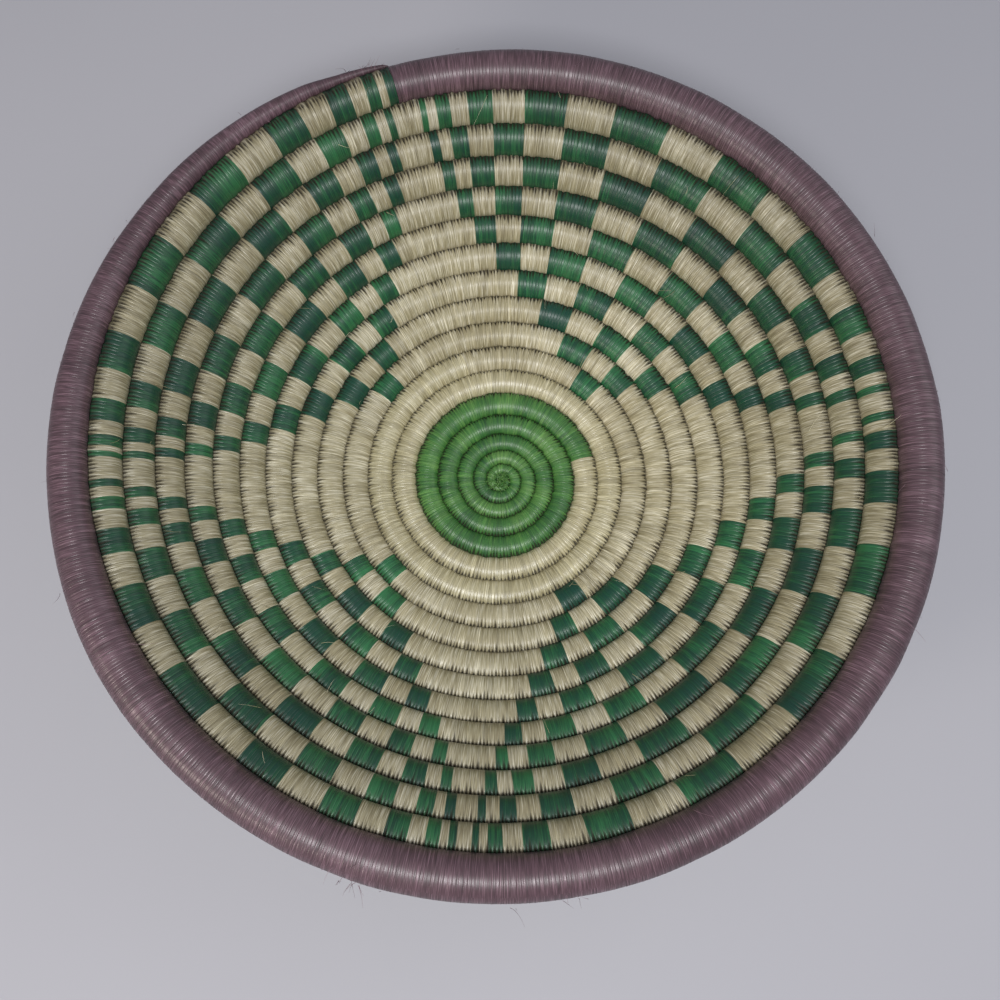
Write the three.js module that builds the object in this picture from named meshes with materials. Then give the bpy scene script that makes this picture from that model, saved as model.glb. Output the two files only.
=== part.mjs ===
import * as THREE from 'three';

// A coiled basket bowl. One rope of grass is wound in a spiral from the heart of the base out to the rim,
// wrapped all along in sisal strand, and sewn to the round before it.
// Lengths are in millimetres and angles in degrees. A place along the coil is counted in turns from the heart.

// Turns of each colour, and where the rim takes over from the checkered rounds, seen from above
const greenTurns = 5;
const creamTurns = 1.743;
const checkerTurns = 10;
const rimTurns = 1;
const rimStartAngle = 106.6;

// Room that one round takes along the wall, from the heart outwards
const heartPitch = 3.35;
const basePitch = 9.4;
const wallPitch = 12.85;
const rimPitch = 14;
const tailPitch = 0.8;

// The rim swells after its start, and thins into a tail that is too slim to hold grass near its tip
const rimSwellSpan = 40;
const rimTailSpan = 105;
const tailTaper = 0.55;
const tailTipSpan = 15;

// The bowl: a flat base, a bend, then a straight flared wall
const flatBaseRadius = 33;
const wallBend = 107;
const wallAngle = 45;
const baseCut = 0.5;

// The strand that wraps the coil, and the clearances that keep the pieces apart
const strandThickness = 0.9;
const roundGap = 0.4;
const coreGap = 0.3;
const endGap = 0.3;

// How finely the coil is divided
const fineSteps = 24;
const heartSteps = 12;
const heartEnd = 3;
const wrapSides = 8;
const coreSides = 6;

const green = '#2f7450';
const cream = '#c9bea0';
const mauve = '#6f5763';
const straw = '#b39a63';

const { lerp, clamp, degToRad } = THREE.MathUtils;
const wrapStart = 1;
const rimStart = greenTurns + creamTurns + checkerTurns;
const coilEnd = rimStart + rimTurns;
const tipStart = coilEnd - tailTipSpan / 360;
const baseLift = (basePitch - roundGap) / 2 - baseCut;

// Seen from above, the coil runs clockwise as it goes outwards.
function angleAt(turn) {
  return degToRad(rimStartAngle) + 2 * Math.PI * (rimStart - turn);
}

// The coil thickens evenly over the green centre, then slowly up the wall.
function pitchAt(turn) {
  if (turn < greenTurns) {
    return lerp(heartPitch, basePitch, turn / greenTurns);
  }
  return lerp(basePitch, wallPitch, (turn - greenTurns) / (rimStart - greenTurns));
}

// Distance along the wall from the heart to the middle of the coil
function runAt(turn) {
  const inner = Math.min(turn, greenTurns);
  const outer = turn - inner;
  const centre = inner * (heartPitch + pitchAt(inner)) / 2;
  const wall = outer * (basePitch + pitchAt(greenTurns + outer)) / 2;
  return heartPitch / 2 + centre + wall;
}

function rimPitchAt(turn) {
  const swell = clamp((turn - rimStart) * 360 / rimSwellSpan, 0, 1);
  const tail = clamp((coilEnd - turn) * 360 / rimTailSpan, 0, 1) ** tailTaper;
  return lerp(tailPitch, lerp(wallPitch, rimPitch, swell), tail);
}

// The rim lies on the round before it, whatever the thickness of the two.
function rimRunAt(turn) {
  return runAt(turn - 1) + pitchAt(turn - 1) / 2 + rimPitchAt(turn) / 2;
}

// Radius, height and slope of the bowl at a distance along its wall
function wallAt(run) {
  const slope = clamp((run - flatBaseRadius) / wallBend, 0, degToRad(wallAngle));
  const bent = slope * wallBend;
  const straight = Math.max(run - flatBaseRadius - bent, 0);
  const radius = Math.min(run, flatBaseRadius) + wallBend * Math.sin(slope) + straight * Math.cos(slope);
  const height = wallBend * (1 - Math.cos(slope)) + straight * Math.sin(slope);
  return { radius, height, slope };
}

// A cross-section of the coil: its middle, its two directions and half its thickness
function sectionAt(turn) {
  const onRim = turn > rimStart;
  const pitch = onRim ? rimPitchAt(turn) : pitchAt(turn);
  const wall = wallAt(onRim ? rimRunAt(turn) : runAt(turn));
  const angle = angleAt(turn);
  const radial = new THREE.Vector3(Math.cos(angle), Math.sin(angle), 0);
  const middle = radial.clone().multiplyScalar(wall.radius).setZ(wall.height + baseLift);
  const out = radial.clone().multiplyScalar(Math.cos(wall.slope)).setZ(Math.sin(wall.slope));
  const up = out.clone().cross(new THREE.Vector3(-radial.y, radial.x, 0));
  const half = (pitch - roundGap) / 2;
  return { middle, out, up, half };
}

// The turns at which a stretch of the coil is divided: its two ends, and every even step between them
function turnsBetween(from, to) {
  const turns = [from];
  const nearest = 0.3 / fineSteps;
  for (let step = Math.ceil((coilEnd - from) * fineSteps); step > 0; step -= 1) {
    const turn = coilEnd - step / fineSteps;
    const skipped = turn < heartEnd && step % (fineSteps / heartSteps) !== 0;
    if (!skipped && turn > from + nearest && turn < to - nearest) {
      turns.push(turn);
    }
  }
  turns.push(to);
  return turns;
}

// A ring of corners round the coil. What would reach below the table is cut flat.
function ringAt(section, corner, sides) {
  return Array.from({ length: sides }, (_, side) => {
    const around = 2 * Math.PI * (side + 0.5) / sides;
    const point = section.middle.clone();
    point.addScaledVector(section.out, corner * Math.cos(around));
    point.addScaledVector(section.up, corner * Math.sin(around));
    return point.setZ(Math.max(point.z, 0));
  });
}

const wrapCorner = (section) => section.half / Math.cos(Math.PI / wrapSides);
const boreCorner = (section) => section.half - strandThickness;
const coreCorner = (section) => boreCorner(section) - coreGap / Math.cos(Math.PI / coreSides);

// Triangles between each ring and the next one along the coil
function skin(rings, first, inward) {
  const faces = [];
  const sides = rings[0].length;
  for (let ring = 0; ring < rings.length - 1; ring += 1) {
    for (let side = 0; side < sides; side += 1) {
      const a = first + ring * sides + side;
      const b = first + ring * sides + (side + 1) % sides;
      const c = b + sides;
      const d = a + sides;
      faces.push(...(inward ? [a, c, b, a, d, c] : [a, b, c, a, c, d]));
    }
  }
  return faces;
}

// Triangles that close one end of a tube, round its bore where it has one
function endCap(section, outerRing, boreRing, outerFirst, boreFirst, atStart) {
  const flat = (point) => {
    const reach = point.clone().sub(section.middle);
    return new THREE.Vector2(reach.dot(section.out), reach.dot(section.up));
  };
  const holes = boreRing ? [boreRing.map(flat)] : [];
  const triangles = THREE.ShapeUtils.triangulateShape(outerRing.map(flat), holes);
  const place = (index) => (index < outerRing.length ? outerFirst + index : boreFirst + index - outerRing.length);
  return triangles.flatMap(([a, b, c]) => (atStart ? [a, c, b] : [a, b, c]).map(place));
}

// A closed tube along the coil, solid or with a bore
function coilTube(from, to, sides, cornerOf, boreOf) {
  const sections = turnsBetween(from, to).map(sectionAt);
  const outer = sections.map((section) => ringAt(section, cornerOf(section), sides));
  const bore = boreOf ? sections.map((section) => ringAt(section, boreOf(section), coreSides)) : [];
  const points = [...outer.flat(), ...bore.flat()];
  const boreFirst = outer.length * sides;
  const last = sections.length - 1;
  const faces = [
    ...skin(outer, 0, false),
    ...(boreOf ? skin(bore, boreFirst, true) : []),
    ...endCap(sections[0], outer[0], bore[0], 0, boreFirst, true),
    ...endCap(sections[last], outer[last], bore[last], last * sides, boreFirst + last * coreSides, false),
  ];
  const geometry = new THREE.BufferGeometry().setFromPoints(points);
  geometry.setIndex(faces);
  geometry.computeVertexNormals();
  return geometry;
}

const bowl = new THREE.Group();

function add(name, geometry, color, roughness) {
  const material = new THREE.MeshStandardMaterial({ color, roughness, metalness: 0 });
  const mesh = new THREE.Mesh(geometry, material);
  mesh.name = name;
  bowl.add(mesh);
}

// Half the gap between two wraps that follow each other, as a share of a turn
function endShare(turn) {
  const { middle } = sectionAt(turn);
  return endGap / 2 / (2 * Math.PI * Math.hypot(middle.x, middle.y));
}

function addWrap(name, from, to, color) {
  add(name, coilTube(from + endShare(from), to - endShare(to), wrapSides, wrapCorner, boreCorner), color, 0.6);
}

add('start_knot', coilTube(0, wrapStart - endShare(wrapStart), wrapSides, wrapCorner), green, 0.6);
for (let round = 1; round < greenTurns; round += 1) {
  addWrap(`green_wrap_${round}`, round, round + 1, green);
}
addWrap('cream_wrap_1', greenTurns, greenTurns + 1, cream);
addWrap('cream_wrap_2', greenTurns + 1, greenTurns + creamTurns, cream);
for (let round = 1; round <= checkerTurns; round += 1) {
  const from = greenTurns + creamTurns + round - 1;
  addWrap(`checker_wrap_${round}`, from, from + 1, cream);
}
addWrap('rim_wrap', rimStart, tipStart, mauve);
add('rim_tail', coilTube(tipStart + endShare(tipStart), coilEnd, wrapSides, wrapCorner), mauve, 0.6);

const coreFrom = wrapStart + endShare(wrapStart);
const coreTo = rimStart - endShare(rimStart);
add('grass_core', coilTube(coreFrom, coreTo, coreSides, coreCorner), straw, 0.8);
const bundleFrom = rimStart + endShare(rimStart);
const bundleTo = tipStart - endShare(tipStart);
add('rim_bundle', coilTube(bundleFrom, bundleTo, coreSides, coreCorner), straw, 0.8);

// Least gap between the grass core and its own next round, measured between the corners of both
function leastCoreGap() {
  let least = Infinity;
  for (const turn of turnsBetween(coreFrom, coreTo - 1)) {
    const inner = sectionAt(turn);
    const outer = sectionAt(turn + 1);
    for (const near of ringAt(inner, coreCorner(inner), coreSides)) {
      for (const far of ringAt(outer, coreCorner(outer), coreSides)) {
        least = Math.min(least, near.distanceTo(far));
      }
    }
  }
  return least;
}
console.log(`Least gap of the grass core to itself: ${leastCoreGap().toFixed(2)} mm`);

// The bowl stands over the middle of its own outline.
const outline = new THREE.Box3().setFromObject(bowl);
const middle = outline.getCenter(new THREE.Vector3());
bowl.position.set(-middle.x, -middle.y, 0);

export default bowl;
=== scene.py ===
import bpy
import numpy as np
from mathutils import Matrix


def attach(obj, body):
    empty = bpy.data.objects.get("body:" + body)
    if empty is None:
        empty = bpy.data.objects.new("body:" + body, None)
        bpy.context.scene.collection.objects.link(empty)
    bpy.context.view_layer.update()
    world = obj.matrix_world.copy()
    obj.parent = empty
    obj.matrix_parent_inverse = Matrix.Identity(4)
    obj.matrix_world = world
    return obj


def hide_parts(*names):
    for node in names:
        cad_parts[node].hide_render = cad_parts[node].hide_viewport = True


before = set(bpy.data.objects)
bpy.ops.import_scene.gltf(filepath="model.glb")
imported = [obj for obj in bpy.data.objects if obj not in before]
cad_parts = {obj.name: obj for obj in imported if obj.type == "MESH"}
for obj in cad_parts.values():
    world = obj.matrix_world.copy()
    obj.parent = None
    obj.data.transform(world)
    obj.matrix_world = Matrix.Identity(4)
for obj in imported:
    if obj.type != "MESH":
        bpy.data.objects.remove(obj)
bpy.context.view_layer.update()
print("frame loaded with", len(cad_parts), "nodes")

scene = bpy.context.scene
mm = 0.001

# The coil's own spiral: millimetres, degrees, and turns counted from the heart of the base.
bowl = {
    "axis": (1.3215, 2.5665, 0.0),  # where the spiral's axis stands in the frame
    "greenTurns": 5,
    "creamTurns": 1.743,
    "checkerTurns": 10,
    "rimTurns": 1,
    "rimStartAngle": 106.6,
    "heartStart": -0.42,  # the first stitches close over the axis
    "heartPitch": 3.35,
    "basePitch": 9.4,
    "wallPitch": 12.85,
    "rimPitch": 14,
    "tailPitch": 0.8,
    "rimSwellSpan": 40,
    "rimTailSpan": 105,
    "tailTaper": 0.55,
    "tailTipSpan": 15,
    "tailSlim": 0.82,  # the tail is drawn tighter: from slimFrom degrees before its end, fully at slimTo
    "slimFrom": 13,
    "slimTo": 7,
    "flatBaseRadius": 33,
    "wallBend": 107,
    "wallAngle": 45,
    "baseLift": 4.0,
    "stitchPlace": 0.3,  # share of a round outside the coil's middle, where stitches are spaced
    "tableSize": 60001,  # places at which the length along the coil is worked out
}
checkerStart = bowl["greenTurns"] + bowl["creamTurns"]
rimStart = checkerStart + bowl["checkerTurns"]
coilEnd = rimStart + bowl["rimTurns"]
tipStart = coilEnd - bowl["tailTipSpan"] / 360

# Where the random numbers of each group of pieces start
seeds = {"centre": 100, "cream": 120, "checker": 130, "rim": 150, "loose": 300}


def between(low, high, share):
    # straight mix of two values
    return low + (high - low) * share


def eased(low, high, value):
    # 0 below low, 1 above high, and a smooth S between them
    share = np.clip((value - low) / (high - low), 0, 1)
    return share * share * (3 - 2 * share)


def angleAt(turn):
    # the coil runs clockwise outwards, and the rim starts at its own angle
    return np.radians(bowl["rimStartAngle"]) + 2 * np.pi * (rimStart - turn)


def pitchAt(turn):
    # room of one round: even growth over the green centre, then slow growth up the wall
    centre = between(bowl["heartPitch"], bowl["basePitch"], turn / bowl["greenTurns"])
    share = (turn - bowl["greenTurns"]) / (rimStart - bowl["greenTurns"])
    return np.where(turn < bowl["greenTurns"], centre, between(bowl["basePitch"], bowl["wallPitch"], share))


def runAt(turn):
    # way along the wall from the heart: half a round, then turns times the mean pitch of each stretch
    inner = np.minimum(turn, bowl["greenTurns"])
    outer = turn - inner
    centre = inner * (bowl["heartPitch"] + pitchAt(inner)) / 2
    wall = outer * (bowl["basePitch"] + pitchAt(bowl["greenTurns"] + outer)) / 2
    return bowl["heartPitch"] / 2 + centre + np.where(outer > 0, wall, 0)


def rimPitchAt(turn):
    # the rim swells after its start and thins by a power of the way left into its tail
    swell = np.clip((turn - rimStart) * 360 / bowl["rimSwellSpan"], 0, 1)
    tail = np.clip((coilEnd - turn) * 360 / bowl["rimTailSpan"], 0, 1) ** bowl["tailTaper"]
    slim = between(bowl["tailSlim"], 1, eased(bowl["slimTo"], bowl["slimFrom"], (coilEnd - turn) * 360))
    return between(bowl["tailPitch"], between(bowl["wallPitch"], bowl["rimPitch"], swell), tail) * slim


def sectionAt(turn):
    # middle, outward way, inward-up way and pitch of the coil: a flat disc, an arc, then a straight flare
    onRim = turn > rimStart
    pitch = np.where(onRim, rimPitchAt(turn), pitchAt(turn))
    before = turn - 1
    run = np.where(onRim, runAt(before) + pitchAt(before) / 2 + pitch / 2, runAt(turn))
    slope = np.clip((run - bowl["flatBaseRadius"]) / bowl["wallBend"], 0, np.radians(bowl["wallAngle"]))
    straight = np.maximum(run - bowl["flatBaseRadius"] - slope * bowl["wallBend"], 0)
    flat = np.minimum(run, bowl["flatBaseRadius"])
    radius = flat + bowl["wallBend"] * np.sin(slope) + straight * np.cos(slope)
    height = bowl["wallBend"] * (1 - np.cos(slope)) + straight * np.sin(slope)
    angle = angleAt(turn)
    across, along, none = np.cos(angle), np.sin(angle), np.zeros_like(angle)
    middle = np.stack([across * radius, along * radius, height + bowl["baseLift"]], -1)
    radial = np.stack([across, along, none], -1)
    upright = np.stack([none, none, none + 1], -1)
    cosine, sine = np.cos(slope)[..., None], np.sin(slope)[..., None]
    return middle, radial * cosine + upright * sine, upright * cosine - radial * sine, pitch


# Length along the coil, measured a little outside its middle so that stitches stay even near the heart.
turnTable = np.linspace(bowl["heartStart"], coilEnd, bowl["tableSize"])
tableMiddle, tableOut, _, tablePitch = sectionAt(turnTable)
tableWay = tableMiddle + tableOut * (bowl["stitchPlace"] * tablePitch)[:, None]
tableSteps = np.linalg.norm(np.diff(tableWay, axis=0), axis=1)
lengthTable = np.concatenate([[0.0], np.cumsum(tableSteps)])
coilLength = lengthTable[-1]
print("coil length", round(coilLength / 1000, 2), "m")

# Slow changes along the coil: millimetres from one random value to the next, and the seed
waves = {
    "swell": (31, 71),
    "bulge": (13, 72),
    "sway": (47, 73),
    "lean": (9, 74),
    "seam": (1, 75),
    "cloud": (8, 81),
    "drift": (27, 82),
}


def slowNoise(length, wave):
    # random values from 0 to 1 at even places along the coil, eased from one to the next
    spacing, seed = waves[wave]
    knots = np.random.default_rng(seed).random(int(coilLength / spacing) + 2)
    place = np.clip(length, 0, coilLength) / spacing
    step = place.astype(int)
    return between(knots[step], knots[step + 1], eased(0, 1, place - step))


# Colours and finishes

def linear(hexColour):
    # sRGB hex to the linear colour that shaders take
    values = np.array([int(hexColour[place:place + 2], 16) for place in (1, 3, 5)]) / 255
    values = np.where(values <= 0.04045, values / 12.92, ((values + 0.055) / 1.055) ** 2.4)
    return (*map(float, values), 1.0)


def addNode(tree, kind, settings, inputs):
    # one node with its settings, and each input given a value or linked from an output
    node = tree.nodes.new("ShaderNode" + kind)
    for name, value in settings.items():
        setattr(node, name, value)
    for name, value in inputs.items():
        if isinstance(value, bpy.types.NodeSocket):
            tree.links.new(value, node.inputs[name])
        else:
            node.inputs[name].default_value = value
    return node


def newMaterial(name):
    # an empty material and its tree of nodes
    material = bpy.data.materials.new(name)
    material.use_nodes = True
    material.node_tree.nodes.clear()
    return material, material.node_tree


sisal = {
    "filament": 0.34,  # mm; real filaments are finer, and this is as fine as the render shows
    "filamentLength": 9.0,  # mm
    "strandWidth": 1.1,  # mm; broader streaks, one for each bunch of filaments
    "strandLength": 22.0,
    "strandShare": 0.17,  # share of the broader streaks in the pattern
    "detail": 2.0,
    "noiseLow": 0.3,  # the range that the noise mostly keeps to
    "noiseHigh": 0.7,
    "dyeSpread": 1.05,  # how far filaments move along a dye's dark, middle and light colours
    "bumpHeight": 0.02,  # mm
    "roughLow": 0.33,
    "roughHigh": 0.44,
    "roughDeep": 0.95,  # in the dark gaps
    "ior": 1.53,  # cellulose
    # painted shade: the dark brown that notches, gaps between stitches and crevices between rounds are mixed
    # towards
    "shadeColour": "#261e12",
}


def fibrePattern(tree):
    # noise drawn out along the strand: fine filaments, mixed with the broader streaks of bunches of them
    place = addNode(tree, "UVMap", {"uv_map": "strandMap"}, {}).outputs["UV"]
    noises = []
    for width, length in (("filament", "filamentLength"), ("strandWidth", "strandLength")):
        scale = (1 / sisal[width], 1 / sisal[length], 1)
        stretched = addNode(tree, "Mapping", {}, {"Vector": place, "Scale": scale})
        inputs = {"Vector": stretched.outputs["Vector"], "Scale": 1.0, "Detail": sisal["detail"]}
        noises.append(addNode(tree, "TexNoise", {}, inputs).outputs["Fac"])
    return addNode(tree, "Mix", {}, {0: sisal["strandShare"], 2: noises[0], 3: noises[1]}).outputs[0]


def stretchNoise(tree, noise, low, high, clamp):
    # the usual range of a noise, moved and stretched to run from low to high
    inputs = {0: noise, 1: sisal["noiseLow"], 2: sisal["noiseHigh"], 3: low, 4: high}
    return addNode(tree, "MapRange", {"clamp": clamp}, inputs).outputs[0]


def readPoint(tree, key):
    # a value that the mesh holds at each of its points
    return addNode(tree, "Attribute", {"attribute_name": key}, {}).outputs["Fac"]


def dyeColour(tree, dyes, place):
    # colour at a place from dark over middle to light in a dye; a second dye takes over where dye is 1
    colours = []
    for dye in dyes:
        ramp = addNode(tree, "ValToRGB", {}, {"Fac": place})
        ramp.color_ramp.elements.new(0.5)
        for element, hexColour in zip(ramp.color_ramp.elements, dye):
            element.color = linear(hexColour)
        colours.append(ramp.outputs["Color"])
    if len(colours) == 1:
        return colours[0]
    inputs = {0: readPoint(tree, "dye"), 6: colours[0], 7: colours[1]}
    return addNode(tree, "Mix", {"data_type": "RGBA"}, inputs).outputs[2]


def sisalStrand(name, dyes, specular):
    # Split sisal leaf, combed and dyed: satin strands, fine lengthwise filaments, uneven dye, and painted
    # shade in the gaps
    material, tree = newMaterial(name)
    fibre = fibrePattern(tree)
    shade = readPoint(tree, "shade")
    moved = stretchNoise(tree, fibre, -sisal["dyeSpread"] / 2, sisal["dyeSpread"] / 2, False)
    chosen = addNode(tree, "Math", {"operation": "ADD"}, {0: readPoint(tree, "patch"), 1: moved})
    inputs = {0: dyeColour(tree, dyes, chosen.outputs[0]), "Scale": readPoint(tree, "tone")}
    toned = addNode(tree, "VectorMath", {"operation": "SCALE"}, inputs)
    # painted shade: the dye is mixed towards that dark brown where the shade attribute is low
    inputs = {0: shade, 6: linear(sisal["shadeColour"]), 7: toned.outputs[0]}
    shaded = addNode(tree, "Mix", {"data_type": "RGBA"}, inputs)
    shiny = stretchNoise(tree, fibre, sisal["roughHigh"], sisal["roughLow"], True)
    rough = addNode(tree, "Mix", {}, {0: shade, 2: sisal["roughDeep"], 3: shiny})
    inputs = {"Height": fibre, "Distance": sisal["bumpHeight"] * mm, "Strength": 1.0}
    bump = addNode(tree, "Bump", {}, inputs)
    shader = addNode(tree, "BsdfPrincipled", {}, {
        "Base Color": shaded.outputs[2],
        "Roughness": rough.outputs[0],
        "Normal": bump.outputs["Normal"],
        "IOR": sisal["ior"],
        "Specular IOR Level": specular,
    })
    addNode(tree, "OutputMaterial", {}, {"Surface": shader.outputs["BSDF"]})
    return material


# Dark, middle and light of each dye
creamDye = ("#8f8561", "#bab18a", "#eae3c4")
wallCreamDye = ("#887e5f", "#b3aa89", "#ebe5cd")
greenDye = ("#0a4234", "#134d33", "#2f7446")
centreDye = ("#295c30", "#447a37", "#6c9c50")
mauveDye = ("#47333b", "#654b54", "#947581")
finishes = {
    "cream_sisal": sisalStrand("undyed combed sisal", [creamDye], specular=1.0),
    "green_sisal": sisalStrand("green dyed sisal", [centreDye], specular=0.6),
    "checkered_sisal": sisalStrand("green and undyed sisal", [wallCreamDye, greenDye], specular=0.5),
    "mauve_sisal": sisalStrand("mauve dyed sisal", [mauveDye], specular=0.6),
}
print("sisal finishes made")


# Meshes

def quadCorners(grid):
    # the four corners of each quad between a ring and the next, on every tube
    return np.stack([grid[:, :-1, :-1], grid[:, :-1, 1:], grid[:, 1:, 1:], grid[:, 1:, :-1]], 3)


def pieceFrom(name, points, node, slot, attributes, strandPlace):
    # closed tubes: rings of corners joined by quads, with one flat face at each end
    tubes, rings, sides = points.shape[:3]
    corner = np.arange(tubes * rings * sides).reshape(tubes, rings, sides)
    quads = quadCorners(np.concatenate([corner, corner[:, :, :1]], axis=2)).reshape(-1, 4)
    ends = np.concatenate([corner[:, 0, ::-1], corner[:, -1]])
    loops = np.concatenate([quads.ravel(), ends.ravel()])
    starts = np.concatenate([np.arange(len(quads)) * 4, len(quads) * 4 + np.arange(2 * tubes) * sides])
    mesh = bpy.data.meshes.new(name)
    mesh.vertices.add(tubes * rings * sides)
    mesh.vertices.foreach_set("co", ((points + bowl["axis"]) * mm).astype(np.float32).ravel())
    mesh.loops.add(len(loops))
    mesh.loops.foreach_set("vertex_index", loops.astype(np.int32))
    mesh.polygons.add(len(starts))
    mesh.polygons.foreach_set("loop_start", starts.astype(np.int32))
    mesh.update(calc_edges=True)
    mesh.polygons.foreach_set("use_smooth", np.arange(len(starts)) < len(quads))
    for key, values in attributes.items():
        layer = mesh.attributes.new(key, "FLOAT", "POINT")
        layer.data.foreach_set("value", values.astype(np.float32).ravel())
    layMaps(mesh, tubes, rings, sides, strandPlace)
    mesh.materials.append(finishes[slot])
    piece = bpy.data.objects.new(name, mesh)
    scene.collection.objects.link(piece)
    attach(piece, "root")
    if node:
        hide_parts(node)


bakeStrips = {
    "strips": 8,
    "gap": 0.03,  # share of a strip left free below it, and above it
    "margin": 0.03,  # share of the map below all strips, where the end caps lie
    "capSize": 0.012,
    "firstCap": (0.1, 0.014),
    "lastCap": (0.2, 0.014),
    "capScale": 100,  # mm of strand across the map, on the end caps
}


def layMap(mesh, name, places):
    # one map, with a place for each corner of each face
    layer = mesh.uv_layers.new(name=name, do_init=False)
    layer.data.foreach_set("uv", places.astype(np.float32).ravel())


def layMaps(mesh, tubes, rings, sides, strandPlace):
    # strandMap holds millimetres along and around the coil; OFBake stacks the unrolled coil in strips
    turnsRound = np.arange(sides) * 2 * np.pi / sides
    capDisc = np.stack([np.cos(turnsRound), np.sin(turnsRound)], -1) * bakeStrips["capSize"]
    firstCaps = [capDisc[::-1] + bakeStrips["firstCap"]] * tubes
    lastCaps = [capDisc + bakeStrips["lastCap"]] * tubes
    capPlaces = np.concatenate(firstCaps + lastCaps)
    strandCorners = quadCorners(strandPlace).reshape(-1, 2)
    layMap(mesh, "strandMap", np.concatenate([strandCorners, capPlaces * bakeStrips["capScale"]]))
    rows = tubes * (rings - 1)
    perStrip = int(np.ceil(rows / bakeStrips["strips"]))
    row, column = np.meshgrid(np.arange(rows), np.arange(sides), indexing="ij")
    strip = row // perStrip
    start, share = row - strip * perStrip, (1 - 2 * bakeStrips["gap"]) / sides
    left, right = start / perStrip, (start + 1) / perStrip
    stripHigh = (1 - bakeStrips["margin"]) / bakeStrips["strips"]
    low = bakeStrips["margin"] + stripHigh * (strip + bakeStrips["gap"] + column * share)
    high = low + stripHigh * share
    across = np.stack([left, left, right, right], -1).reshape(-1)
    upward = np.stack([low, high, high, low], -1).reshape(-1)
    layMap(mesh, "OFBake", np.concatenate([np.stack([across, upward], -1), capPlaces]))
    mesh.uv_layers.active = mesh.uv_layers["strandMap"]


# Sisal wraps: each stitch is two threads wide, and its outer end is notched where the next round is sewn in.
strand = {
    "stitch": 1.35,  # mm along the coil
    "rimStitch": 1.28,
    "heartStitch": 0.95,
    "fewest": 4,  # stitches on a wrap
    "uneven": 0.13,  # share of a stitch by which its edges stray, and the most that they may
    "mostUneven": 0.35,
    "lean": -0.4,  # mm that a stitch's outer end leads its inner end, and how much that varies
    "leanSpread": 1.3,
    "plump": 0.22,  # the coil is this much fatter than its room, and its sides are pressed flat
    "press": 0.03,  # mm that neighbouring rounds sink into each other
    "zigzag": 0.46,  # mm that the seam between two rounds strays to and fro
    "swell": 0.12,  # mm that the coil swells along its way, and how many times more on the rim
    "rimSwell": 1.8,
    "sway": 0.12,  # mm that the coil rises and falls along its way
    "lift": 0.016,  # mm that threads differ in height, and that each ripples round the coil
    "ripple": 0.014,
    "heartRough": 3.2,  # how many times rougher threads are at the heart, and where the green rounds start
    "greenRough": 3,
    "heartEase": 1.4,  # mm over which the coil's first end is rounded off, and its last
    "tipEase": 2,
    "leastEase": 0.02,
    "lastGreen": 0.004,  # turns before the rim that stay green
}
notch = {
    "shut": 26,  # degrees round the coil from its outer edge: closed below this, full from the next
    "full": 36,
    "reachLow": 52,  # and the notch ends between these
    "reachHigh": 75,
    "depth": 1.0,  # mm
    "forceSpread": 0.22,  # how much depth varies, as a share of it, and its limits
    "forceLow": 0.45,
    "forceHigh": 1.3,
    "width": 0.4,  # share of a stitch on either side of its edge; narrow where there is no notch
    "narrow": 0.07,
    "widest": 1.1,  # no wider from this share of the depth
    "dark": 1.6,  # painted shade: how soon a notch is fully dark as it deepens
}
shading = {
    "toneSpread": 0.08,  # how much threads differ, and the share of that on the rim
    "rimSpread": 0.9,
    "toneLow": 0.7,
    "toneHigh": 1.3,
    "wallShade": 0.7,  # painted shade: the strand is drawn darker up the wall, where less light falls than on the base
    "tipTone": 0.75,  # the tail darkens to its tip, over this many turns
    "tipSpan": 0.06,
    "crackShade": 0.22,  # painted shade in the gap at the edge between two stitches, and how much that varies
    "crackSpread": 0.18,
    "crackMost": 0.5,
    "crackDeepest": 0.9,  # also where the strand is rough
    "rimCracks": 1.3,  # the rim is wound more loosely
    "innerShade": 0.9,  # painted shade in the crevice between rounds: light left at the coil's inner edge, and degrees from it between which that clears
    "innerFrom": 26,
    "innerTo": 50,
    "outerShade": 0.7,  # the same painted shade at its outer edge
    "outerFrom": 28,
    "outerTo": 54,
    "clouds": 0.7,  # how much the dye varies in short clouds, in long ones and from stitch to stitch
    "drifts": 0.6,
    "stitchDye": 0.12,
}
# How far clouds of dye move the strand from dark to light
mottles = {"cream_sisal": 0.27, "green_sisal": 0.6, "mauve_sisal": 0.26, "checkered_sisal": 0.95}

# Degrees round the coil from its outer edge, closer together where the notches are
sectionAngles = np.radians([
    0, 16, 24, 31, 39, 49, 61, 75, 90, 105, 121, 137, 152, 166,
    180, 204, 232, 258, 284, 308, 329, 344,
])
fromOuter = np.minimum(sectionAngles, 2 * np.pi - sectionAngles)
fromInner = np.pi - fromOuter

# Rings of a stitch: its edge, then side and crest of a thread, the dip, and crest and side of the other
samples = 6
profile = {
    "relief": np.array([-0.055, 0, 0.018, -0.022, 0.018, 0]),  # mm
    "sink": np.array([1, 0.14, 0.05, 0.03, 0.05, 0.14]),  # share of a notch's depth
    "notchShade": np.array([1, 0.42, 0, 0, 0, 0.42]),  # share of a notch's painted shade
    "crackShade": np.array([1, 0, 0, 0.5, 0, 0]),  # share of a crack's painted shade
}


def notchesFor(count, random):
    # depth share of each notch round the coil: opens from the pressed side, then runs out in a point
    reach = between(notch["reachLow"], notch["reachHigh"], random.random(count + 1) ** 2)
    force = random.normal(1, notch["forceSpread"], count + 1).clip(notch["forceLow"], notch["forceHigh"])
    degrees = np.degrees(fromOuter)
    runOut = np.clip((reach[:, None] - degrees) / (reach[:, None] - notch["full"]), 0, 1)
    return eased(notch["shut"], notch["full"], degrees) * runOut * force[:, None]


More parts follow.
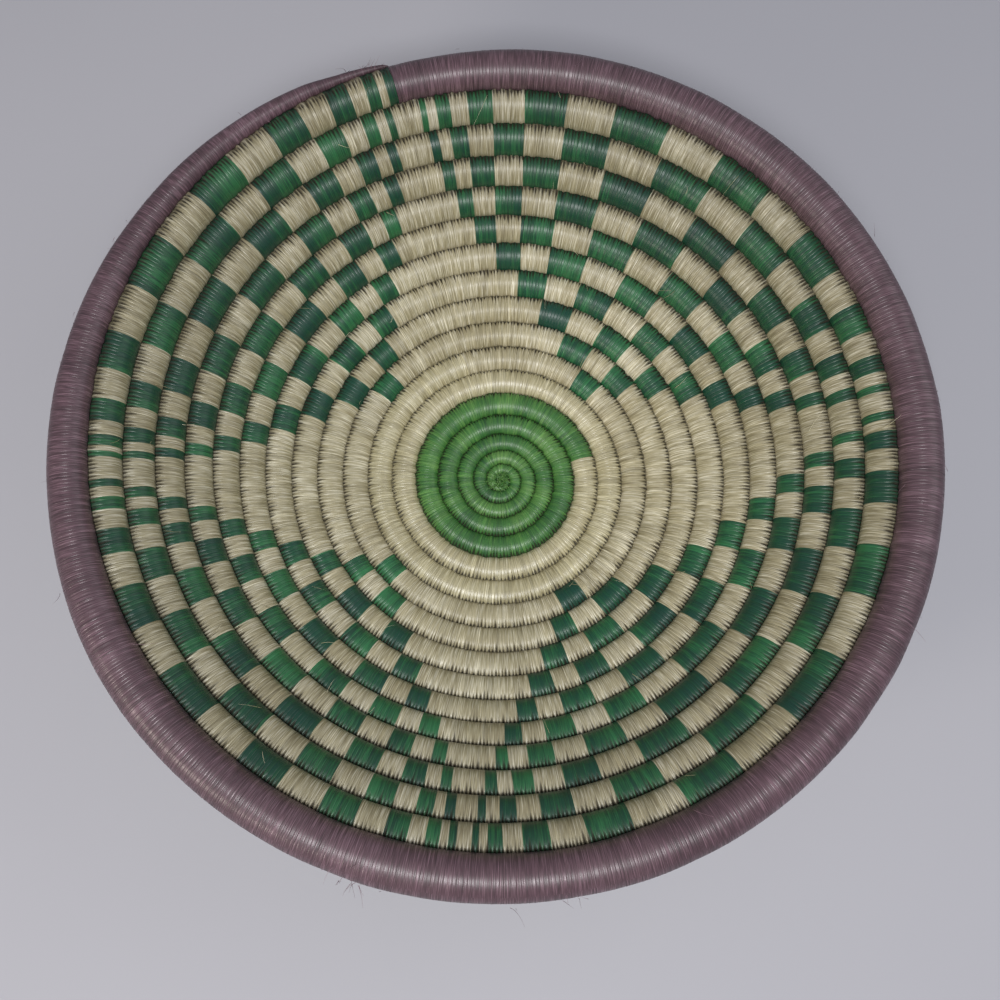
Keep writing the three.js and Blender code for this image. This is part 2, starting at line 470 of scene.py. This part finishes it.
def drawStitches(count, free, rough, random):
    # what differs from stitch to stitch, each a bell curve with limits; the free rim has no notches
    stray = random.normal(0, strand["uneven"], count + 1).clip(-strand["mostUneven"], strand["mostUneven"])
    stray[[0, -1]] = 0
    pinch = notchesFor(count, random) * (0.0 if free else 1.0)
    toneSpread = shading["toneSpread"] * (shading["rimSpread"] if free else 1)
    tones = random.normal(1, toneSpread, (count + 1, 2)).clip(shading["toneLow"], shading["toneHigh"])
    lifts = random.normal(0, strand["lift"], (count + 1, 2, 1))
    lifts = lifts + random.normal(0, strand["ripple"], (count + 1, 2, len(sectionAngles)))
    cracks = random.normal(shading["crackShade"], shading["crackSpread"], count + 1)
    cracks = cracks.clip(0, shading["crackMost"]) * (shading["rimCracks"] if free else rough)
    dyes = random.normal(0, shading["stitchDye"], count + 1)
    return stray, pinch, tones, lifts * rough, np.minimum(cracks, shading["crackDeepest"]), dyes


def surfaceAt(length, raised, free, start, end, ease):
    # points round the coil: radius = half a pitch, plumped, plus swell and relief, rounded at eased ends;
    # the sides are pressed flat at seams that zigzag, and a stitch's place is its length plus its lean
    turn = np.interp(length, lengthTable, turnTable)
    size = np.minimum(sectionAt(turn)[3] / bowl["basePitch"], 1)
    lean = strand["lean"] + strand["leanSpread"] * (slowNoise(length, "lean") - 0.5)
    length = length + lean * size / 2 * np.cos(sectionAngles)
    turn = np.interp(length, lengthTable, turnTable)
    middle, out, up, pitch = sectionAt(turn)
    swell = strand["swell"] * (slowNoise(length, "swell") + slowNoise(length, "bulge") - 1)
    swell = swell * (strand["rimSwell"] if free else 1)
    plump = strand["plump"] * ((1 - np.cos(sectionAngles)) / 2 if free else 1)
    half = pitch / 2 * (1 + plump) + size * (swell + raised)
    for way, span in ((length - start, ease[0]), (end - length, ease[1])):
        if span:
            half = half * np.sqrt(np.clip(way / span, strand["leastEase"], 1))
    pressed = pitch / 2 + strand["press"]
    below = np.interp(turn - 1, turnTable, lengthTable)
    innerSeam = pressed - strand["zigzag"] * size * (slowNoise(below, "seam") * 2 - 1)
    outerSeam = pressed + strand["zigzag"] * size * (slowNoise(length, "seam") * 2 - 1)
    aside = np.maximum(half * np.cos(sectionAngles), -innerSeam)
    aside = aside if free else np.minimum(aside, outerSeam)
    rise = half * np.sin(sectionAngles) + strand["sway"] * (slowNoise(length, "sway") * 2 - 1) * size
    points = middle + out * aside[..., None] + up * rise[..., None]
    points[..., 2] = np.maximum(points[..., 2], 0)
    return points, length, turn, half


def shadeOf(sample, crack, pinch, free):
    # painted shade: 1 in the open, times what is left between stitches, deep in the notches and in the
    # crevices of the coil
    cracked = profile["crackShade"][sample] * crack
    notched = np.clip(pinch * notch["dark"], 0, 1) * profile["notchShade"][sample][:, None]
    clear = eased(shading["innerFrom"], shading["innerTo"], np.degrees(fromInner))
    inner = between(shading["innerShade"], 1, clear)
    clear = eased(shading["outerFrom"], shading["outerTo"], np.degrees(fromOuter))
    outer = between(shading["outerShade"], 1, clear)
    return (1 - cracked)[:, None] * (1 - notched) * (inner if free else inner * outer)


def cloudsAt(length):
    # short and long clouds of dye along the strand, each moved to vary about 0
    short = shading["clouds"] * (slowNoise(length, "cloud") - 0.5)
    return short + shading["drifts"] * (slowNoise(length, "drift") - 0.5)


def windSisal(node, slot, ends, seed, stitch=strand["stitch"], row=None, free=False, ease=(0, 0), rough=1):
    # a tube of stitches along the coil: place of a ring = edge of its stitch + share x way to the next edge
    start, end = np.interp(ends, turnTable, lengthTable)
    count = max(int(np.rint((end - start) / stitch)), strand["fewest"])
    stray, pinch, tones, lifts, cracks, dyes = drawStitches(count, free, rough, np.random.default_rng(seed))
    edges = start + (np.arange(count + 1) + stray) * (end - start) / count
    ring = np.arange(count * samples + 1)
    sample, here = ring % samples, ring // samples
    after = np.minimum(here + 1, count)
    gap = between(notch["narrow"], notch["width"], np.minimum(pinch, notch["widest"]))
    near, far = gap[here], gap[after]
    shares = [0 * near, near, (near + 0.5) / 2, 0 * near + 0.5, (1.5 - far) / 2, 1 - far]
    share = np.choose(sample[:, None], shares)
    # rings 1 and 2 lie on the first thread, 4 and 5 on the second
    onFirst, onSecond = (sample == 1) | (sample == 2), sample > 3
    lift = lifts[here, 0] * onFirst[:, None] + lifts[here, 1] * onSecond[:, None]
    pinchHere = np.where((sample == 5)[:, None], pinch[after], pinch[here])
    deep = pinchHere * (profile["sink"][sample] * notch["depth"])[:, None]
    raised = profile["relief"][sample][:, None] + lift - deep
    length = edges[here][:, None] + share * (edges[after] - edges[here])[:, None]
    points, length, turn, half = surfaceAt(length, raised, free, start, end, ease)
    shade = shadeOf(sample, np.where(sample == 3, cracks[after], cracks[here]), pinchHere, free)
    tone = np.where(onFirst, tones[here, 0], np.where(onSecond, tones[here, 1], tones[here].mean(axis=1)))
    ringTurn = turn.mean(axis=1)
    # painted shade: threads are drawn darker up the wall
    tone = tone * between(1, shading["wallShade"], eased(checkerStart, rimStart, ringTurn))
    tone = tone * between(1, shading["tipTone"], eased(coilEnd - shading["tipSpan"], coilEnd, ringTurn))
    attributes = {"tone": tone[:, None] + 0 * shade, "shade": shade}
    mottle = mottles[slot]
    if row is not None:
        # a thread has one dye all round, read where its middle lies
        threadPlace = edges[here] + np.where(sample < 3, 0.25, 0.75) * (edges[after] - edges[here])
        threadTurn = np.interp(threadPlace, lengthTable, turnTable)
        dye = checkerDye(np.degrees(angleAt(threadTurn + bowl["checkerTurns"] - row)), row)[:, None]
        dye = np.where(threadTurn[:, None] > rimStart - strand["lastGreen"], 1.0, dye)
        mottle = between(mottles["cream_sisal"], mottle, dye)
        attributes["dye"] = dye + 0 * shade
    attributes["patch"] = 0.5 + mottle * (cloudsAt(length) + dyes[here][:, None])
    around = np.append(sectionAngles, 2 * np.pi) * float(half.mean())
    lengthWrapped = np.concatenate([length, length[:, :1]], axis=1)
    strandPlace = np.stack(np.broadcast_arrays(lengthWrapped, around), -1)
    pieceFrom("sisal_" + node, points[None], node, slot, attributes, strandPlace[None])


# Four fans of blocks widen as they climb. Row k of a fan has k green blocks with cream between them.
# Edge angle = middle + side spread x tanh(blocks from the middle / crowding), and each row drifts a little.
fans = [
    {"middle": 145.2, "spread": (39.9, 39.4), "crowding": (5.1, 4.6), "drift": 0.59, "lean": (-0.40, -0.76)},
    {"middle": 228.0, "spread": (43.6, 37.4), "crowding": (5.3, 5.4), "drift": 0.88, "lean": (-0.68, -1.19)},
    {"middle": 308.9, "spread": (45.3, 57.7), "crowding": (4.9, 5.1), "drift": 1.20, "lean": (-0.88, -0.65)},
    {"middle": 417.8, "spread": (54.3, 48.2), "crowding": (5.5, 5.2), "drift": 1.09, "lean": (-0.16, -1.48)},
]


def checkerDye(angle, row):
    # 1 where an odd number of a fan's edges lie below the angle, else 0
    steps = np.arange(1 - row, row + 1) - 0.5
    side = (steps > 0).astype(int)
    dye = np.zeros(len(angle))
    for fan in fans:
        reach = np.tanh(np.abs(steps) / np.take(fan["crowding"], side))
        edges = fan["middle"] + np.sign(steps) * np.take(fan["spread"], side) * reach
        edges = edges + (row - bowl["checkerTurns"]) * (fan["drift"] + np.take(fan["lean"], side) * reach)
        dye = dye + (angle[:, None] >= edges).sum(axis=1) % 2
    return dye


knot = {"stitch": strand["heartStitch"], "ease": (strand["heartEase"], 0), "rough": strand["heartRough"]}
windSisal("start_knot", "green_sisal", (bowl["heartStart"], 1), seeds["centre"], **knot)
for number in range(1, bowl["greenTurns"]):
    share = number / bowl["greenTurns"]
    stitch = between(strand["heartStitch"], strand["stitch"], share)
    rough = between(strand["greenRough"], 1, share)
    ends = number, number + 1
    windSisal(f"green_wrap_{number}", "green_sisal", ends, seeds["centre"] + number, stitch, rough=rough)
creamStart = bowl["greenTurns"]
windSisal("cream_wrap_1", "cream_sisal", (creamStart, creamStart + 1), seeds["cream"] + 1)
windSisal("cream_wrap_2", "cream_sisal", (creamStart + 1, checkerStart), seeds["cream"] + 2)
print("green centre and plain cream rounds wound")
for number in range(1, bowl["checkerTurns"] + 1):
    ends = checkerStart + number - 1, checkerStart + number
    windSisal(f"checker_wrap_{number}", "checkered_sisal", ends, seeds["checker"] + number, row=number)
print("checkered rounds wound")
rim = {"stitch": strand["rimStitch"], "free": True}
tailEase = 0, strand["tipEase"]
windSisal("rim_wrap", "mauve_sisal", (rimStart, tipStart), seeds["rim"], **rim)
windSisal("rim_tail", "mauve_sisal", (tipStart, coilEnd), seeds["rim"] + 1, ease=tailEase, **rim)
print("rim wound")


# The grass inside the wraps: a bundle of stems, lobed and slightly twisted. It is closed in on all sides.
grass = {
    "stems": 9,
    "cornersPerStem": 3,
    "step": 6.0,  # mm from ring to ring
    "twist": 90.0,  # mm for one stem to take the place of the next
    "inset": 1.5,  # mm from the outside of the coil
    "stemDepth": 0.12,  # share of the radius
    "lowest": 0.6,  # mm above the table
    "start": 1.05,  # turns from the heart
    "endGap": 0.002,  # turns between the two bundles
    "lineWidth": 0.4,  # mm
    "lineLength": 25,
    "lineDepth": 0.1,
    "detail": 3.0,
    "rough": 0.7,
    "colours": ("#8a7040", "#cdb67e"),
}


def driedGrass():
    # Dried grass stems, cut and bundled: matt straw with pale and brown stems and fine lengthwise lines
    material, tree = newMaterial("dried grass stems")
    place = addNode(tree, "UVMap", {"uv_map": "strandMap"}, {})
    scale = (1 / grass["lineLength"], 1 / grass["lineWidth"], 1)
    lines = addNode(tree, "Mapping", {}, {"Vector": place.outputs["UV"], "Scale": scale})
    inputs = {"Vector": lines.outputs["Vector"], "Scale": 1.0, "Detail": grass["detail"]}
    grain = addNode(tree, "TexNoise", {}, inputs)
    ramp = addNode(tree, "ValToRGB", {}, {"Fac": grain.outputs["Fac"]})
    for element, hexColour in zip(ramp.color_ramp.elements, grass["colours"]):
        element.color = linear(hexColour)
    bump = addNode(tree, "Bump", {}, {"Height": grain.outputs["Fac"], "Distance": grass["lineDepth"] * mm})
    shader = addNode(tree, "BsdfPrincipled", {}, {
        "Base Color": ramp.outputs["Color"],
        "Roughness": grass["rough"],
        "Normal": bump.outputs["Normal"],
    })
    addNode(tree, "OutputMaterial", {}, {"Surface": shader.outputs["BSDF"]})
    return material


finishes["grass"] = driedGrass()


def bundleGrass(name, node, fromTurn, toTurn):
    # a tube inside the wrap: radius = half a pitch less the inset, with a rounded lobe for each stem
    start, end = np.interp([fromTurn, toTurn], turnTable, lengthTable)
    rings = int((end - start) / grass["step"]) + 2
    length = np.linspace(start, end, rings)
    turn = np.interp(length, lengthTable, turnTable)
    middle, out, up, pitch = sectionAt(turn)
    sides = grass["stems"] * grass["cornersPerStem"]
    around = np.arange(sides) * 2 * np.pi / sides
    turned = around[None, :] + (length / grass["twist"] * 2 * np.pi / grass["stems"])[:, None]
    lobe = np.abs(np.sin(around * grass["stems"] / 2))
    lobed = 1 - grass["stemDepth"] + grass["stemDepth"] * lobe
    half = (pitch / 2 - grass["inset"])[:, None] * lobed[None, :]
    ways = out[:, None, :] * np.cos(turned)[..., None] + up[:, None, :] * np.sin(turned)[..., None]
    points = middle[:, None, :] + half[..., None] * ways
    points[..., 2] = np.maximum(points[..., 2], grass["lowest"])
    aroundWay = np.append(around, 2 * np.pi) * float(half.mean())
    strandPlace = np.stack(np.broadcast_arrays(length[:, None], aroundWay[None, :]), -1)
    pieceFrom(name, points[None], node, "grass", {}, strandPlace[None])


endGap = grass["endGap"]
bundleGrass("grass_stems_core", "grass_core", grass["start"], rimStart - endGap)
bundleGrass("grass_stems_rim", "rim_bundle", rimStart + endGap, tipStart - endGap)
print("grass bundled")


# Loose fibres: short ends that stand off the coil, a tuft on the rim, and the bristly heart
loose = {
    "rings": 7,
    "sides": 3,
    "thickness": 0.09,  # mm; half the width of a fibre at its root
    "thinning": 0.7,  # share of that lost at its tip
    "bend": 0.3,  # share of its length by which a fibre bends any way, and by which it bends off the coil
    "bendOff": 0.1,
    "nudge": 0.01,  # keeps the cross product below from vanishing
    "lowest": 0.1,  # mm above the table
    "tone": 1.1,
    "rootShade": 1,
    "pale": 0.7,  # place from dark to light in its dye, and how much that varies
    "paleSpread": 0.25,
    "tuftAngle": 251,  # degrees, seen from above
}
tuftTurn = rimStart + (bowl["rimStartAngle"] - loose["tuftAngle"]) / 360 % 1

# Places in turns and in radians from the coil's outer edge, lengths in mm, and how fibres spread and stand
looseGroups = [
    {
        "name": "loose_cream_fibres",
        "slot": "cream_sisal",
        "count": 110,
        "turns": (checkerStart - 1, rimStart),
        "around": (0.6, 2.6),
        "lengths": (3, 9),
        "spread": 0.6,
        "stand": 0.35,
    },
    {
        "name": "loose_rim_fibres",
        "slot": "mauve_sisal",
        "count": 60,
        "turns": (rimStart, tipStart),
        "around": (-1, 2.4),
        "lengths": (3, 8),
        "spread": 0.5,
        "stand": 0.3,
    },
    {
        "name": "rim_tuft",
        "slot": "mauve_sisal",
        "count": 16,
        "middle": tuftTurn,
        "scatter": 0.004,
        "around": (-0.5, 0.5),
        "lengths": (3, 6),
        "spread": 0.5,
        "stand": 0.5,
    },
    {
        "name": "tail_fray",
        "slot": "mauve_sisal",
        "count": 14,
        "turns": (coilEnd, coilEnd - 0.02),
        "around": (-0.6, 1.6),
        "lengths": (2, 6),
        "spread": 0.8,
        "stand": 0.5,
    },
    {
        "name": "heart_ends",
        "slot": "green_sisal",
        "count": 76,
        "turns": (bowl["heartStart"], bowl["heartStart"] + 1),
        "around": (0.9, 2.2),
        "lengths": (1.8, 3.8),
        "spread": 1.2,
        "stand": 0.9,
        "thickness": 0.24,
        "rootShade": 0.8,
        "pale": 1.1,
    },
]


def growFibres(group, turn, around, lengths, seed):
    # each fibre is a bent hair that thins: place = root + length x (share x way + share squared x bend)
    random = np.random.default_rng(seed)
    kind = {**loose, **group}
    count = kind["count"]
    middle, out, up, pitch = sectionAt(turn)
    cosine, sine = np.cos(around)[:, None], np.sin(around)[:, None]
    normal = out * cosine + up * sine
    wrapWay = up * cosine - out * sine
    coilWay = np.cross(out, up)
    root = middle + normal * (pitch / 2 * (1 + strand["plump"]))[:, None]
    way = random.choice([-1.0, 1.0], count)[:, None] * wrapWay
    way = way + random.normal(0, kind["spread"], (count, 1)) * coilWay
    way = way + kind["stand"] * random.random((count, 1)) * normal
    way = way / np.linalg.norm(way, axis=1)[:, None]
    bend = random.normal(0, kind["bend"], (count, 3)) + normal * kind["bendOff"]
    share = np.linspace(0, 1, kind["rings"])[None, :, None]
    path = root[:, None] + lengths[:, None, None] * (share * way[:, None] + share ** 2 * bend[:, None])
    across = np.cross(way, normal + kind["nudge"])
    across = across / np.linalg.norm(across, axis=1)[:, None]
    deep = np.cross(across, way)
    corner = np.arange(kind["sides"]) * 2 * np.pi / kind["sides"]
    ringWay = across[:, None] * np.cos(corner)[:, None] + deep[:, None] * np.sin(corner)[:, None]
    thin = kind["thickness"] * (1 - kind["thinning"] * share)[..., None]
    points = path[:, :, None] + thin * ringWay[:, None]
    points[..., 2] = np.maximum(points[..., 2], kind["lowest"])
    flat = np.ones(points.shape[:3])
    attributes = {
        "tone": kind["tone"] * flat,
        "shade": between(kind["rootShade"], 1, share) * flat,
        "patch": kind["pale"] + random.normal(0, kind["paleSpread"], (count, 1, 1)) * flat,
    }
    along = np.broadcast_to(lengths[:, None] * share[..., 0], points.shape[:2])
    aroundWay = np.arange(kind["sides"] + 1) * kind["thickness"]
    strandPlace = np.stack(np.broadcast_arrays(aroundWay, along[..., None]), -1)
    pieceFrom(kind["name"], points, None, kind["slot"], attributes, strandPlace)


looseRandom = np.random.default_rng(seeds["loose"])
for number, group in enumerate(looseGroups, 1):
    if "scatter" in group:
        turn = group["middle"] + looseRandom.normal(0, group["scatter"], group["count"])
    else:
        turn = between(*group["turns"], looseRandom.random(group["count"]))
    around = looseRandom.uniform(*group["around"], group["count"])
    lengths = looseRandom.uniform(*group["lengths"], group["count"])
    growFibres(group, turn, around, lengths, seeds["loose"] + number)
print("loose fibres grown")


# Floor, light and camera
studio = {
    "floorColour": "#b6b6bd",
    "floorSize": 8.0,  # metres
    "floorDrop": 0.2,  # mm below the bowl
    "floorRough": 0.85,
    "cloudScale": 9.0,
    "cloudDetail": 3.0,
    "clouds": (0.985, 1.015),  # shares of the floor's colour
    "skyColour": "#f2f3ff",
    "skyStrength": 0.235,
    "paleStrength": 0.7,  # what the camera and reflections see of the room
    "cameraPlace": (-5.64, -114.11, 477.83),  # mm
    "cameraTilt": 0.226,  # radians back from straight down
    "cameraLean": -0.0137,
    "lens": 44.0,
    "sensor": 36,
}
# Places and sizes in metres; each lamp is turned to the middle of the bowl's base.
lamps = [
    {"name": "ceiling light", "at": (-0.03, -0.37, 0.88), "size": 0.26, "power": 5.6, "colour": "#ffffff"},
    {"name": "left light", "at": (-0.82, -0.66, 0.51), "size": 0.25, "power": 3.7, "colour": "#fff4e6"},
    {"name": "right light", "at": (0.9, 0.3, 0.7), "size": 0.8, "power": 2.1, "colour": "#ffffff"},
]


def mattFloor():
    # Matt painted board: pale grey with a faint cloudiness
    material, tree = newMaterial("matt painted board")
    place = addNode(tree, "TexCoord", {}, {}).outputs["Object"]
    inputs = {"Vector": place, "Scale": studio["cloudScale"], "Detail": studio["cloudDetail"]}
    cloud = addNode(tree, "TexNoise", {}, inputs)
    ramp = addNode(tree, "ValToRGB", {}, {"Fac": cloud.outputs["Fac"]})
    base = np.array(linear(studio["floorColour"]))
    for element, share in zip(ramp.color_ramp.elements, studio["clouds"]):
        element.color = (*map(float, base[:3] * share), 1.0)
    inputs = {"Base Color": ramp.outputs["Color"], "Roughness": studio["floorRough"]}
    shader = addNode(tree, "BsdfPrincipled", {}, inputs)
    addNode(tree, "OutputMaterial", {}, {"Surface": shader.outputs["BSDF"]})
    return material


floorHalf = studio["floorSize"] / 2
floorHeight = -studio["floorDrop"] * mm
floorSides = ((-1, -1), (1, -1), (1, 1), (-1, 1))
floorCorners = [(x * floorHalf, y * floorHalf, floorHeight) for x, y in floorSides]
floorMesh = bpy.data.meshes.new("floor")
floorMesh.from_pydata(floorCorners, [], [(0, 1, 2, 3)])
floorMesh.materials.append(mattFloor())
floor = bpy.data.objects.new("floor", floorMesh)
scene.collection.objects.link(floor)

# The room lights the bowl with its sky, and shows the camera and reflections a plain pale wall.
world = bpy.data.worlds.new("soft room")
scene.world = world
world.use_nodes = True
sky = world.node_tree
sky.nodes.clear()
path = addNode(sky, "LightPath", {}, {})
shown = path.outputs["Is Camera Ray"]
for ray in ("Is Glossy Ray", "Is Transmission Ray"):
    shown = addNode(sky, "Math", {"operation": "MAXIMUM"}, {0: shown, 1: path.outputs[ray]}).outputs[0]
inputs = {"Color": linear(studio["skyColour"]), "Strength": studio["skyStrength"]}
soft = addNode(sky, "Background", {}, inputs)
inputs = {"Color": linear(studio["floorColour"]), "Strength": studio["paleStrength"]}
pale = addNode(sky, "Background", {}, inputs)
chosenSky = addNode(sky, "MixShader", {}, {0: shown, 1: soft.outputs[0], 2: pale.outputs[0]})
addNode(sky, "OutputWorld", {}, {"Surface": chosenSky.outputs[0]})

for lamp in lamps:
    light = bpy.data.objects.new(lamp["name"], bpy.data.lights.new(lamp["name"], "AREA"))
    light.data.energy = lamp["power"]
    light.data.color = linear(lamp["colour"])[:3]
    light.data.size = lamp["size"]
    light.location = lamp["at"]
    light.rotation_euler = (-light.location).to_track_quat("-Z", "Y").to_euler()
    scene.collection.objects.link(light)

camera = bpy.data.objects.new("camera", bpy.data.cameras.new("camera"))
camera.data.sensor_width = studio["sensor"]
camera.data.lens = studio["lens"]
camera.rotation_mode = "YXZ"
camera.rotation_euler = (studio["cameraTilt"], studio["cameraLean"], 0)
camera.location = [value * mm for value in studio["cameraPlace"]]
scene.collection.objects.link(camera)
scene.camera = camera
scene.view_settings.view_transform = "Standard"
print("floor, light and camera set")
